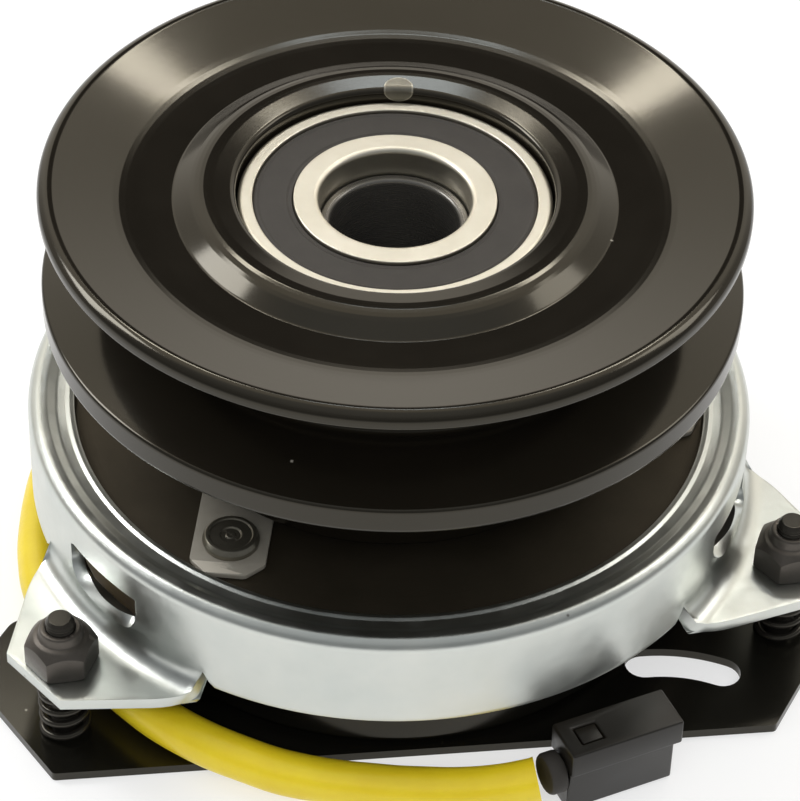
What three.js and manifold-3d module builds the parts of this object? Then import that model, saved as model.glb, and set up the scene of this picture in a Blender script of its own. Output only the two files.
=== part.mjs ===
// Electric power-take-off clutch and brake with a single V-belt pulley.
// Millimetres, +Z up along the crankshaft axis. The origin is on that axis, level with the
// underside of the mounting plate, so the clutch stands on z = 0 with its pulley on top.
import * as THREE from "three";
import { mergeVertices } from "three/addons/utils/BufferGeometryUtils.js";
import Module from "manifold-3d";

const wasm = await Module();
wasm.setup();

// ---------------------------------------------------------------- driving dimensions
const GAP = 0.3; // between pieces that touch on the real clutch
const RUNNING = 0.3; // radial play of a ring in its seat
const ROUND = 32; // facets of a large turned piece
const SMALL = 12; // facets of a small turned piece
const RING = 24; // facets of a bearing piece or a retaining ring

const PLATE = { thick: 2, holeR: 27, studHoleR: 3.3, headR: 4.4, headDeep: 1.2 };
const PULLEY = { rimR: 69.85, grooveFloorR: 53.5, drumR: 46.5, bearingTopZ: 93, drumBottomZ: 43 };
const PULLEY_BEARING = { boreR: 15, outerR: 31, width: 16, pitchR: 23, ballR: 4.76, balls: 9, ringWide: 5 };
const FIELD_BEARING = {
  boreR: 17.5, outerR: 31, width: 14, pitchR: 24.25, ballR: 3.97, balls: 11, ringWide: 4,
};
const HUB = {
  boreR: 12.7, bottomZ: 1, topZ: 87, shoulderR: 19, keyWide: 6.35, keyDeep: 2.6, keyTopZ: 69,
  grooveR: 16.4, grooveLow: 3.2, grooveHigh: 4.7, flangeR: 23, flangeTall: 2.9,
};
const FIELD = { outerR: 61.5, wall: 3.5, innerR: 31.4, coreR: 35.5, topZ: 25.8, web: 4 };
const ROTOR = { outerR: 66, faceZ: 33.4, disc: 6, wall: 3.7, skirtZ: 14, bossR: 29.6, bossZ: 21.5 };
const LINING = { innerR: 46, outerR: 54, deep: 2.4 };
const ARMATURE = { innerR: 39.5, outerR: 69.5, bottomZ: 33.85, thick: 5.7 };
const CUP = { outerR: 74, sheet: 2.5, lipR: 64.5, lipTopZ: 42.4, shoulderTopZ: 43.5, bottomZ: 22.5 };
const EAR = { azimuths: [-137, -17, 103], studR: 86, topZ: 21, tipR: 93.2, tipHalf: 8.5 };
const WINDOW = { lowZ: 26.2, highZ: 35.4, halfWide: 10.6 };
const STUD = { radius: 2.9, topZ: 32.7 };
const NUT = { acrossFlats: 12.7, tall: 7.2, collarR: 4.1, collarTall: 2, holeR: 3.15, turn: 12 };
const SPRING = { outerR: 5.3, wireR: 0.75, turns: 5.4 };
const LEAF = { azimuth: -124.1, rivetR: 53.9, wide: 15, thick: 1.1, pitch: 26, turn: 29.6, bottomZ: 39.85 };
const LEAD = { diameter: 9.2, sides: 8 };
const GLAND = { azimuth: 118, radius: 67.5, bootLong: 12 };
const CONNECTOR = {
  long: 24.4, wide: 9.6, tall: 16.5, bandTall: 6.1, ledge: 1, x: 35.8, y: -72.4, turn: 25.5,
};

const BEARING_BOTTOM = PULLEY.bearingTopZ - PULLEY_BEARING.width;
const ARMATURE_TOP = ARMATURE.bottomZ + ARMATURE.thick;
const LEAF_TOP = LEAF.bottomZ + LEAF.thick;
const FIELD_BEARING_Z = 5.1;

// Centre line of the sleeved lead, from its boot round the housing to the connector.
const LEAD_ROUTE = [
  [-47.0, 51.4, 8.0], [-51.3, 49.1, 7.9], [-55.4, 46.5, 7.6], [-59.1, 43.2, 7.1],
  [-63.9, 36.4, 6.1], [-68.0, 27.6, 5.2], [-71.1, 17.2, 4.8], [-72.7, 6.4, 4.8],
  [-72.9, -4.6, 5.2], [-72.2, -15.4, 6.0], [-70.0, -26.0, 6.8], [-65.6, -35.6, 7.0],
  [-59.7, -44.4, 6.9], [-52.4, -52.6, 6.9], [-44.4, -60.2, 6.9], [-35.9, -66.1, 6.9],
  [-27.4, -69.9, 6.3], [-18.8, -72.4, 5.1], [-9.8, -74.0, 4.8], [-0.6, -75.0, 4.8],
  [8.4, -75.6, 4.9], [16.6, -75.8, 5.4], [24.4, -75.6, 6.5], [31.2, -74.6, 7.7],
];

// ---------------------------------------------------------------- geometry helpers
const rad = THREE.MathUtils.degToRad;
const polar = (r, azimuth, z = 0) =>
  new THREE.Vector3(r * Math.cos(rad(azimuth)), r * Math.sin(rad(azimuth)), z);

// A closed geometry as a manifold-3d solid, ready to cut or join.
function solid(geometry, matrix = new THREE.Matrix4()) {
  const bare = geometry.clone().applyMatrix4(matrix);
  bare.deleteAttribute("normal");
  bare.deleteAttribute("uv");
  const merged = mergeVertices(bare, 1e-4);
  return new wasm.Manifold(new wasm.Mesh({
    numProp: 3,
    vertProperties: new Float32Array(merged.attributes.position.array),
    triVerts: new Uint32Array(merged.index.array),
  }));
}

function fromSolid(made) {
  const mesh = made.getMesh();
  const geometry = new THREE.BufferGeometry();
  geometry.setAttribute("position", new THREE.BufferAttribute(new Float32Array(mesh.vertProperties), 3));
  geometry.setIndex(new THREE.BufferAttribute(new Uint32Array(mesh.triVerts), 1));
  geometry.computeVertexNormals();
  return geometry;
}

const cut = (geometry, tools) => fromSolid(tools.reduce((s, tool) => s.subtract(tool), solid(geometry)));
const join = (solids) => fromSolid(solids.reduce((a, b) => a.add(b)));

// A solid of revolution about +Z from [radius, height] points, counter-clockwise in the r-z plane.
function turned(profile, facets = ROUND) {
  const closed = [...profile, profile[0]].map(([r, z]) => new THREE.Vector2(r, z));
  return new THREE.LatheGeometry(closed, facets).rotateX(Math.PI / 2);
}

// A turned rod with solid ends, for pins and cutting tools; the profile starts and ends on the axis.
function rod(profile, facets = SMALL) {
  const points = profile.map(([r, z]) => new THREE.Vector2(r, z));
  return new THREE.LatheGeometry(points, facets).rotateX(Math.PI / 2);
}

const drill = (radius, low, high, x = 0, y = 0, facets = SMALL) =>
  solid(rod([[0, low], [radius, low], [radius, high], [0, high]], facets).translate(x, y, 0));

const block = (x0, x1, y0, y1, z0, z1) =>
  new THREE.BoxGeometry(x1 - x0, y1 - y0, z1 - z0).translate((x0 + x1) / 2, (y0 + y1) / 2, (z0 + z1) / 2);

// A plate cut from an outline of [x, y] points or a ready shape.
function slab(outline, low, high) {
  const shape = Array.isArray(outline)
    ? new THREE.Shape(outline.map(([x, y]) => new THREE.Vector2(x, y)))
    : outline;
  const options = { depth: high - low, bevelEnabled: false, curveSegments: 8 };
  return new THREE.ExtrudeGeometry(shape, options).translate(0, 0, low);
}

const spun = (azimuth) => new THREE.Matrix4().makeRotationZ(rad(azimuth));

// ---------------------------------------------------------------- materials
const finish = (color, metalness, roughness) =>
  new THREE.MeshStandardMaterial({ color, metalness, roughness });
const BLACK_COAT = finish(0x2b2620, 0.6, 0.25);
const ZINC = finish(0xc3c8bd, 1, 0.3);
const BEARING_STEEL = finish(0xc9c2ab, 1, 0.25);
const DARK_STEEL = finish(0x3a342b, 0.8, 0.45);
const SPRING_STEEL = finish(0x7d776a, 0.9, 0.4);
const PHOSPHATE = finish(0x5f5850, 0.6, 0.55);
const SEAL_RUBBER = finish(0x3c3a36, 0, 0.6);
const COPPER = finish(0xb87333, 1, 0.35);
const FRICTION = finish(0x4a443c, 0, 0.9);
const BLACK_PLASTIC = finish(0x24211d, 0, 0.45);
const YELLOW_SLEEVE = finish(0xe6cf1e, 0, 0.5);
const TIN = finish(0xd0d0cc, 1, 0.3);

const clutch = new THREE.Group();
function place(name, geometry, material) {
  const mesh = new THREE.Mesh(geometry, material);
  mesh.name = name;
  clutch.add(mesh);
  return mesh;
}

// ---------------------------------------------------------------- pulley
// Two pressed halves meet half way down the V groove. The upper half carries the bearing pocket.
function pulleyUpperHalf() {
  const z = PULLEY.bearingTopZ;
  const pocketR = PULLEY_BEARING.outerR + RUNNING;
  const body = turned([
    [28.2, z - 19.2], [36, z - 19.2], [36, z - 8.35], [PULLEY.grooveFloorR, z - 8.35],
    [PULLEY.grooveFloorR, z - 4], [69, z + 1.3], [PULLEY.rimR, z + 2.1],
    [PULLEY.rimR, z + 3.5], [69.3, z + 4.7], [67.9, z + 5.4], [58, z + 2], [52, z + 0.5],
    [44.2, z + 0.45], [41.4, z + 1.5], [38.8, z + 2.8], [36.9, z + 3.3], [32.4, z + 2.95],
    [pocketR, z + 2], [pocketR, z - 16 - RUNNING], [28.2, z - 16 - RUNNING],
  ]);
  // A punched stake mark in the bead's inner lip locks the bearing in its pocket.
  const mark = polar(pocketR + 0.4, 90);
  return cut(body, [drill(3, z + 2.3, z + 6, mark.x, mark.y)]);
}

function pulleyLowerHalf() {
  const z = PULLEY.bearingTopZ;
  const low = PULLEY.drumBottomZ;
  const body = turned([
    [33, low], [45.7, low], [PULLEY.drumR, low + 0.8], [PULLEY.drumR, z - 25.5], [48.5, z - 23.4],
    [67.5, z - 24.6], [69.2, z - 24.3], [PULLEY.rimR, z - 23.2], [PULLEY.rimR, z - 19.2], [69.2, z - 18.3],
    [PULLEY.grooveFloorR, z - 13.2], [PULLEY.grooveFloorR, z - 8.65], [41, z - 8.65], [41, low + 5],
    [24, low + 5], [24, low],
  ]);
  return cut(body, leafRivetPoints("inner").map(([x, y]) => drill(3, low - 1, low + 6, x, y)));
}

// ---------------------------------------------------------------- ball bearings
// Rings, seals and a caged ball set for a deep-groove bearing whose lower face is at lowZ.
function ballBearing(prefix, size, lowZ) {
  const { boreR, outerR, width, pitchR, ballR, balls } = size;
  const highZ = lowZ + width;
  const midZ = lowZ + width / 2;
  const race = ballR + 0.35;
  const halfRace = 0.75 * ballR;
  const drop = Math.sqrt(race * race - halfRace * halfRace);
  const seat = 1.9; // depth of the ledge that the seal sits on
  const landOut = pitchR + drop;
  const landIn = pitchR - drop;
  const sealOut = outerR - 3;
  const sealIn = boreR + size.ringWide;
  place(`${prefix}_outer_ring`, turned([
    [sealOut, lowZ], [outerR - 0.8, lowZ], [outerR, lowZ + 0.8], [outerR, highZ - 0.8], [outerR - 0.8, highZ],
    [sealOut, highZ], [sealOut, highZ - seat], [landOut, highZ - seat], [landOut, midZ + halfRace],
    [pitchR + race, midZ], [landOut, midZ - halfRace], [landOut, lowZ + seat], [sealOut, lowZ + seat],
  ], RING), BEARING_STEEL);
  place(`${prefix}_inner_ring`, turned([
    [boreR, lowZ + 1], [boreR + 1, lowZ], [sealIn, lowZ], [sealIn, lowZ + seat], [landIn, lowZ + seat],
    [landIn, midZ - halfRace], [pitchR - race, midZ], [landIn, midZ + halfRace], [landIn, highZ - seat],
    [sealIn, highZ - seat], [sealIn, highZ], [boreR + 1, highZ], [boreR, highZ - 1],
  ], RING), BEARING_STEEL);
  const sealLow = sealIn + 0.25;
  const sealHigh = sealOut - 0.2;
  const seal = (z) => turned([[sealLow, z], [sealHigh, z], [sealHigh, z + 1], [sealLow, z + 1]], RING);
  place(`${prefix}_upper_seal`, seal(highZ - 1.5), SEAL_RUBBER);
  place(`${prefix}_lower_seal`, seal(lowZ + 0.5), SEAL_RUBBER);
  const cage = turned([
    [pitchR - 0.8, midZ - 1], [pitchR + 0.8, midZ - 1], [pitchR + 0.8, midZ + 1], [pitchR - 0.8, midZ + 1],
  ], RING);
  const ballAt = (i) => {
    const at = polar(pitchR, (360 * i) / balls, midZ);
    return solid(new THREE.SphereGeometry(ballR - 0.1, 6, 4).translate(at.x, at.y, at.z));
  };
  const ballSet = Array.from({ length: balls }, (_, i) => ballAt(i));
  place(`${prefix}_balls`, join([solid(cage), ...ballSet]), BEARING_STEEL);
}

// ---------------------------------------------------------------- rotor and hub
function rotorHub() {
  const seatR = PULLEY_BEARING.boreR - RUNNING;
  const journalR = FIELD_BEARING.boreR - RUNNING;
  const journalTop = FIELD_BEARING_Z + FIELD_BEARING.width + GAP;
  const { grooveR, grooveLow, grooveHigh, flangeR, flangeTall } = HUB;
  const flangeLow = ROTOR.faceZ + 0.2;
  const body = turned([
    [HUB.boreR, HUB.bottomZ + 0.8], [HUB.boreR + 0.8, HUB.bottomZ], [journalR - 0.8, HUB.bottomZ],
    [journalR, HUB.bottomZ + 0.8], [journalR, grooveLow], [grooveR, grooveLow], [grooveR, grooveHigh],
    [journalR, grooveHigh], [journalR, journalTop], [HUB.shoulderR, journalTop],
    [HUB.shoulderR, flangeLow], [flangeR, flangeLow], [flangeR, flangeLow + flangeTall],
    [HUB.shoulderR, flangeLow + flangeTall], [HUB.shoulderR, BEARING_BOTTOM - GAP],
    [seatR, BEARING_BOTTOM - GAP], [seatR, HUB.topZ - 0.5], [seatR - 0.4, HUB.topZ],
    [HUB.boreR + 0.9, HUB.topZ], [HUB.boreR, HUB.topZ - 0.9],
  ]);
  const half = HUB.keyWide / 2;
  return cut(body, [solid(block(-half, half, 0, HUB.boreR + HUB.keyDeep, -1, HUB.keyTopZ))]);
}

function rotor() {
  const under = ROTOR.faceZ - ROTOR.disc;
  const inside = ROTOR.outerR - ROTOR.wall;
  const bore = HUB.shoulderR + 0.2;
  const { outerR, faceZ, skirtZ, bossR, bossZ } = ROTOR;
  const { innerR, deep } = LINING;
  return turned([
    [bore, bossZ], [bossR, bossZ], [bossR, under], [inside, under], [inside, skirtZ],
    [outerR, skirtZ], [outerR, faceZ], [LINING.outerR, faceZ], [LINING.outerR, faceZ - deep],
    [innerR, faceZ - deep], [innerR, faceZ], [bore, faceZ],
  ]);
}

// The friction lining sits in the groove of the rotor's face.
function frictionRing() {
  const top = ROTOR.faceZ - 0.05;
  const low = ROTOR.faceZ - LINING.deep + 0.35;
  const inner = LINING.innerR + GAP;
  const outer = LINING.outerR - GAP;
  return turned([[inner, low], [outer, low], [outer, top], [inner, top]]);
}

// An open ring that snaps into the groove under the field bearing.
function hubRetainingRing() {
  const ring = turned([[16.6, 3.4], [20.4, 3.4], [20.4, 4.5], [16.6, 4.5]], RING);
  return cut(ring, [solid(block(-2.5, 2.5, -24, -10, 2, 6))]);
}

function fieldRetainingRing() {
  const low = FIELD_BEARING_Z + FIELD_BEARING.width + 0.2;
  const ring = turned([[28.6, low], [32.2, low], [32.2, low + 1.2], [28.6, low + 1.2]], RING);
  return cut(ring, [solid(block(-4, 4, 24, 36, low - 1, low + 3))]);
}

// ---------------------------------------------------------------- armature and its leaf springs
// Rivet centres at the outer (armature) or inner (pulley) end of the three leaf springs.
function leafRivetPoints(end) {
  return [0, 120, 240].map((step) => {
    const outer = polar(LEAF.rivetR, LEAF.azimuth + step);
    const inward = polar(LEAF.pitch, LEAF.azimuth + step + LEAF.turn + 180);
    return end === "outer" ? [outer.x, outer.y] : [outer.x + inward.x, outer.y + inward.y];
  });
}

function armature() {
  const { innerR, outerR, bottomZ } = ARMATURE;
  const body = turned([[innerR, bottomZ], [outerR, bottomZ], [outerR, ARMATURE_TOP], [innerR, ARMATURE_TOP]]);
  return cut(body, leafRivetPoints("outer").map(([x, y]) => drill(3, bottomZ - 1, ARMATURE_TOP + 1, x, y)));
}

function leafSpring(index) {
  const half = LEAF.wide / 2;
  const nose = 9;
  const chamfer = 3.6;
  const outline = [
    [-nose + chamfer, -half], [LEAF.pitch + nose - chamfer, -half], [LEAF.pitch + nose, -half + chamfer],
    [LEAF.pitch + nose, half - chamfer], [LEAF.pitch + nose - chamfer, half], [-nose + chamfer, half],
    [-nose, half - chamfer], [-nose, -half + chamfer],
  ];
  const [x, y] = leafRivetPoints("inner")[index];
  const turn = spun(LEAF.azimuth + 120 * index + LEAF.turn).setPosition(x, y, 0);
  const body = slab(outline, LEAF.bottomZ, LEAF_TOP);
  const holes = [0, LEAF.pitch].map((along) => drill(3, LEAF.bottomZ - 1, LEAF_TOP + 1, along, 0));
  return cut(body, holes).applyMatrix4(turn);
}

function armatureRivet([x, y]) {
  const head = LEAF_TOP + 0.1;
  const low = ARMATURE.bottomZ + 0.4;
  return rod([
    [0, low], [2.7, low], [2.7, head], [5.4, head], [5.7, head + 0.5], [5.3, head + 1.9],
    [4.4, head + 2.3], [0, head + 2.1],
  ]).translate(x, y, 0);
}

function pulleyRivet([x, y]) {
  const webTop = PULLEY.drumBottomZ + 5;
  const head = LEAF.bottomZ - 0.15;
  const spacer = PULLEY.drumBottomZ - 0.15;
  return rod([
    [0, head - 1.7], [3.3, head - 1.7], [3.8, head], [2.7, head], [2.7, LEAF_TOP + 0.15],
    [4.4, LEAF_TOP + 0.15], [4.4, spacer], [2.7, spacer], [2.7, webTop + 0.15], [4.4, webTop + 0.15],
    [4, webTop + 1.8], [0, webTop + 1.8],
  ], 10).translate(x, y, 0);
}

// ---------------------------------------------------------------- brake cup
function brakeCup() {
  const { outerR, sheet, lipR, lipTopZ, shoulderTopZ, bottomZ } = CUP;
  const inner = outerR - sheet;
  const under = lipTopZ - sheet;
  const shell = turned([
    [inner, bottomZ], [outerR, bottomZ], [outerR, shoulderTopZ - 3], [outerR - 0.8, shoulderTopZ - 1],
    [outerR - 2.6, shoulderTopZ], [70, shoulderTopZ - 0.1], [68, lipTopZ - 0.1], [lipR, lipTopZ],
    [lipR, under], [inner - 1.2, under], [inner, under - 1.2],
  ], ROUND);
  const ear = slab([
    [70, -23.6], [76, -22.6], [81, -18.5], [EAR.tipR, -EAR.tipHalf], [EAR.tipR, EAR.tipHalf],
    [81, 18.5], [76, 22.6], [70, 23.6],
  ], EAR.topZ - sheet, EAR.topZ);
  // The drawn corner between wall and ear, as a stepped fillet.
  const low = EAR.topZ - sheet;
  const step = (r, half, top) => slab([[70, -half], [r, -half + 3], [r, half - 3], [70, half]], low, top);
  const clear = drill(inner, 0, under - 1.3, 0, 0, ROUND);
  const opening = block(60, 84, -WINDOW.halfWide, WINDOW.halfWide, WINDOW.lowZ, WINDOW.highZ);
  const hole = drill(STUD.radius + 0.5, 10, 30, EAR.studR, 0);
  let cup = solid(shell);
  for (const azimuth of EAR.azimuths) {
    const at = spun(azimuth);
    for (const piece of [ear, step(75.2, 23, 24.6), step(77, 21.5, 22.4)]) cup = cup.add(solid(piece, at));
  }
  cup = cup.subtract(clear);
  for (const azimuth of EAR.azimuths) {
    cup = cup.subtract(solid(opening, spun(azimuth))).subtract(solid(fromSolid(hole), spun(azimuth)));
  }
  return fromSolid(cup);
}

// ---------------------------------------------------------------- studs, springs and lock nuts
function stud(azimuth) {
  const at = polar(EAR.studR, azimuth);
  const { radius, topZ } = STUD;
  const head = PLATE.headDeep - GAP;
  return rod([
    [0, 0.1], [PLATE.headR - GAP, 0.1], [PLATE.headR - GAP, head], [radius, head],
    [radius, topZ - 0.8], [radius - 0.7, topZ], [0, topZ],
  ]).translate(at.x, at.y, 0);
}

// A helix about +Z that starts and ends flat.
class CoilCurve extends THREE.Curve {
  constructor(radius, low, high, turns) {
    super();
    Object.assign(this, { radius, low, high, turns });
  }
  // The end turns lie almost flat, so the rise is slow there and even between.
  rise(t) {
    const end = 0.12;
    const bend = 3.7;
    if (t < end) return bend * t * t;
    if (t > 1 - end) return 1 - bend * (1 - t) * (1 - t);
    const start = bend * end * end;
    return start + ((t - end) * (1 - 2 * start)) / (1 - 2 * end);
  }
  getPoint(t, target = new THREE.Vector3()) {
    const angle = 2 * Math.PI * this.turns * t;
    const z = THREE.MathUtils.lerp(this.low, this.high, this.rise(t));
    return target.set(this.radius * Math.cos(angle), this.radius * Math.sin(angle), z);
  }
}

function brakeSpring(azimuth) {
  const at = polar(EAR.studR, azimuth);
  const low = PLATE.thick + SPRING.wireR + 0.1;
  const high = EAR.topZ - CUP.sheet - SPRING.wireR - 0.1;
  const curve = new CoilCurve(SPRING.outerR - SPRING.wireR, low, high, SPRING.turns);
  return tube(curve, SPRING.wireR, 5, Math.round(SPRING.turns * 7)).translate(at.x, at.y, 0);
}

// A tube of round section along a curve, with closed ends.
function tube(curve, radius, sides, steps) {
  const points = Array.from({ length: sides }, (_, i) => {
    const angle = (2 * Math.PI * i) / sides;
    return new THREE.Vector2(radius * Math.cos(angle), radius * Math.sin(angle));
  });
  const options = { steps, extrudePath: curve, bevelEnabled: false };
  return new THREE.ExtrudeGeometry(new THREE.Shape(points), options);
}

function lockNut(azimuth) {
  const at = polar(EAR.studR, azimuth);
  const low = EAR.topZ + 0.1;
  const corner = NUT.acrossFlats / 2 / Math.cos(Math.PI / 6);
  const hex = Array.from({ length: 6 }, (_, i) => {
    const at = polar(corner, 60 * i + NUT.turn);
    return [at.x, at.y];
  });
  const top = low + NUT.tall;
  const collarTop = top + NUT.collarTall;
  const dome = rod([
    [0, low], [corner, low], [corner + 0.5, top - 1.6], [corner - 1.2, top], [NUT.collarR, top],
    [NUT.collarR, collarTop], [0, collarTop],
  ]);
  const body = solid(slab(hex, low, collarTop + 1)).intersect(solid(dome));
  return fromSolid(body.subtract(drill(NUT.holeR, 0, 60))).translate(at.x, at.y, 0);
}

// ---------------------------------------------------------------- field: shell, coil and plate
function fieldShell() {
  const { outerR, wall, innerR, coreR, topZ, web } = FIELD;
  const low = PLATE.thick + GAP;
  const ringZ = FIELD_BEARING_Z + FIELD_BEARING.width;
  const body = turned([
    [28.5, low], [outerR - 1.5, low], [outerR, low + 1.5], [outerR, topZ], [outerR - wall, topZ],
    [outerR - wall, low + web], [coreR, low + web], [coreR, topZ], [innerR, topZ], [innerR, ringZ + 1.6],
    [32.5, ringZ + 1.6], [32.5, ringZ], [innerR, ringZ], [innerR, FIELD_BEARING_Z - 0.2],
    [28.5, FIELD_BEARING_Z - 0.2],
  ]);
  const outlet = solid(rod([[0, 0], [3.2, 0], [3.2, 12], [0, 12]], 12), new THREE.Matrix4()
    .makeRotationY(Math.PI / 2).setPosition(54, 0, 9.5));
  return cut(body, [solid(fromSolid(outlet), spun(GLAND.azimuth - 7))]);
}

function coilBobbin() {
  const inner = FIELD.coreR + GAP;
  const outer = FIELD.outerR - FIELD.wall - GAP;
  const low = PLATE.thick + GAP + FIELD.web + GAP;
  const high = 22;
  const skin = 1.2;
  return turned([
    [inner, low], [outer, low], [outer, low + skin], [inner + skin, low + skin], [inner + skin, high - skin],
    [outer, high - skin], [outer, high], [inner, high],
  ]);
}

const coilWinding = () => turned([[37.4, 8.2], [56.4, 8.2], [56.4, 20.4], [37.4, 20.4]]);
const coilPotting = () => turned([[35.9, 22.3], [57.6, 22.3], [57.6, 25.2], [35.9, 25.2]]);

// Anti-rotation slot: a short curved slot beside one stud.
function kidneySlot() {
  const centre = [58.5, -66.5];
  const half = 3.9;
  const shape = new THREE.Path();
  const mid = 30;
  const from = rad(99);
  const to = rad(68);
  const end = (angle) => [centre[0] + mid * Math.cos(angle), centre[1] + mid * Math.sin(angle)];
  shape.absarc(...centre, mid + half, from, to, true);
  shape.absarc(...end(to), half, to, to - Math.PI, true);
  shape.absarc(...centre, mid - half, to, from, false);
  shape.absarc(...end(from), half, from + Math.PI, from, true);
  return shape;
}

function mountingPlate() {
  const outline = new THREE.Shape();
  outline.moveTo(-64.3, -71.8);
  outline.lineTo(80, -52.9);
  outline.lineTo(92.2, -27.5);
  outline.lineTo(91.8, -14.2);
  outline.lineTo(66.6, 9.4);
  outline.absarc(0, 0, 67.3, rad(8), rad(72), false);
  outline.lineTo(4.5, 84);
  outline.lineTo(-10.4, 93.2);
  outline.lineTo(-28.6, 90.6);
  outline.lineTo(-40.6, 74.4);
  outline.lineTo(-45, 50);
  outline.absarc(0, 0, 67.3, rad(132), rad(200), false);
  outline.lineTo(-76.7, -30.6);
  outline.lineTo(-83.7, -45.6);
  outline.closePath();
  const hole = new THREE.Path();
  hole.absarc(0, 0, PLATE.holeR, 0, 2 * Math.PI, true);
  outline.holes.push(hole, kidneySlot());
  const cutters = EAR.azimuths.flatMap((azimuth) => {
    const at = polar(EAR.studR, azimuth);
    return [drill(PLATE.studHoleR, -1, 5, at.x, at.y), drill(PLATE.headR, -1, PLATE.headDeep, at.x, at.y)];
  });
  return cut(slab(outline, 0, PLATE.thick), cutters);
}

// ---------------------------------------------------------------- lead, gland and connector
// The moulded gland hugs the housing wall, and its boot points along the wall.
function leadGland() {
  const tangent = rad(GLAND.azimuth + 90);
  const centre = polar(GLAND.radius, GLAND.azimuth, 8.1);
  const along = new THREE.Matrix4().makeRotationZ(tangent).setPosition(centre);
  const base = block(-9, 5, -5.5, 5.5, -5.6, 5.2);
  const end = 4 + GLAND.bootLong;
  const boot = rod([[0, 4], [5.6, 4], [5.1, end], [0, end]], 20).rotateY(Math.PI / 2);
  const wall = drill(FIELD.outerR + GAP, 0, 40, 0, 0, ROUND);
  return fromSolid(solid(base, along).add(solid(boot, along)).subtract(wall));
}

function lead() {
  const curve = new THREE.CatmullRomCurve3(LEAD_ROUTE.map((p) => new THREE.Vector3(...p)));
  return tube(curve, LEAD.diameter / 2, LEAD.sides, 26);
}

// The connector is built along +X from its wire end, then turned into place on the ground.
function connectorPieces() {
  const { long, wide, tall, bandTall, ledge, x, y, turn } = CONNECTOR;
  const half = wide / 2;
  const seat = new THREE.Matrix4().makeRotationZ(rad(turn)).setPosition(x, y, 0.05);
  const band = solid(block(0, long, -half, half, tall - bandTall, tall));
  const lower = solid(block(0, long - 1.2, -half + ledge, half - ledge, 0, tall - bandTall + 1));
  const cavity = solid(block(9, long + 1, -half + 2, half - 2, 2, tall - 2));
  const window = solid(block(3.2, 8.2, -2.3, 2.3, tall - 1.6, tall + 1));
  const plug = rod([[0, -1], [3.4, -1], [3.4, 3], [0, 3]], 16).rotateY(Math.PI / 2);
  const entry = solid(plug.translate(0, 0, tall / 2));
  const housing = band.add(lower).subtract(cavity).subtract(window).subtract(entry);
  place("connector_housing", fromSolid(housing).applyMatrix4(seat), BLACK_PLASTIC);
  place("connector_lock", block(3.5, 7.9, -2, 2, tall - 1.3, tall - 0.2).applyMatrix4(seat), BLACK_PLASTIC);
  [4.9, 11.4].forEach((z, i) => {
    const blade = block(9.3, 19.5, -1.4, 1.4, z - 0.4, z + 0.4).applyMatrix4(seat);
    place(`connector_terminal_${i + 1}`, blade, TIN);
  });
  const neck = rod([[0, -3.6], [3.9, -3.6], [4.3, -3], [4.3, -GAP], [3.1, -GAP], [3.1, 2.6], [0, 2.6]], 20);
  neck.rotateY(Math.PI / 2).translate(0, 0, tall / 2).applyMatrix4(seat);
  place("connector_wire_seal", neck, SEAL_RUBBER);
}

// ---------------------------------------------------------------- assembly
place("pulley_upper_half", pulleyUpperHalf(), BLACK_COAT);
place("pulley_lower_half", pulleyLowerHalf(), BLACK_COAT);
ballBearing("pulley_bearing", PULLEY_BEARING, BEARING_BOTTOM);
place("rotor_hub", rotorHub(), DARK_STEEL);
place("rotor", rotor(), DARK_STEEL);
place("friction_ring", frictionRing(), FRICTION);
place("hub_retaining_ring", hubRetainingRing(), SPRING_STEEL);
place("field_retaining_ring", fieldRetainingRing(), SPRING_STEEL);
place("armature", armature(), DARK_STEEL);
leafRivetPoints("outer").forEach((at, i) => {
  place(`armature_rivet_${i + 1}`, armatureRivet(at), SPRING_STEEL);
});
leafRivetPoints("inner").forEach((at, i) => {
  place(`pulley_rivet_${i + 1}`, pulleyRivet(at), SPRING_STEEL);
});
[0, 1, 2].forEach((i) => place(`leaf_spring_${i + 1}`, leafSpring(i), SPRING_STEEL));
place("brake_cup", brakeCup(), ZINC);
EAR.azimuths.forEach((azimuth, i) => {
  place(`stud_${i + 1}`, stud(azimuth), PHOSPHATE);
  place(`brake_spring_${i + 1}`, brakeSpring(azimuth), BLACK_COAT);
  place(`lock_nut_${i + 1}`, lockNut(azimuth), PHOSPHATE);
});
ballBearing("field_bearing", FIELD_BEARING, FIELD_BEARING_Z);
place("field_shell", fieldShell(), BLACK_COAT);
place("coil_bobbin", coilBobbin(), BLACK_PLASTIC);
place("coil_winding", coilWinding(), COPPER);
place("coil_potting", coilPotting(), BLACK_PLASTIC);
place("mounting_plate", mountingPlate(), BLACK_COAT);
place("lead_gland", leadGland(), BLACK_PLASTIC);
place("lead", lead(), YELLOW_SLEEVE);
connectorPieces();

export default clutch;
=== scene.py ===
import math

import bmesh
import bpy
from mathutils import Matrix, Vector, noise


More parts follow.
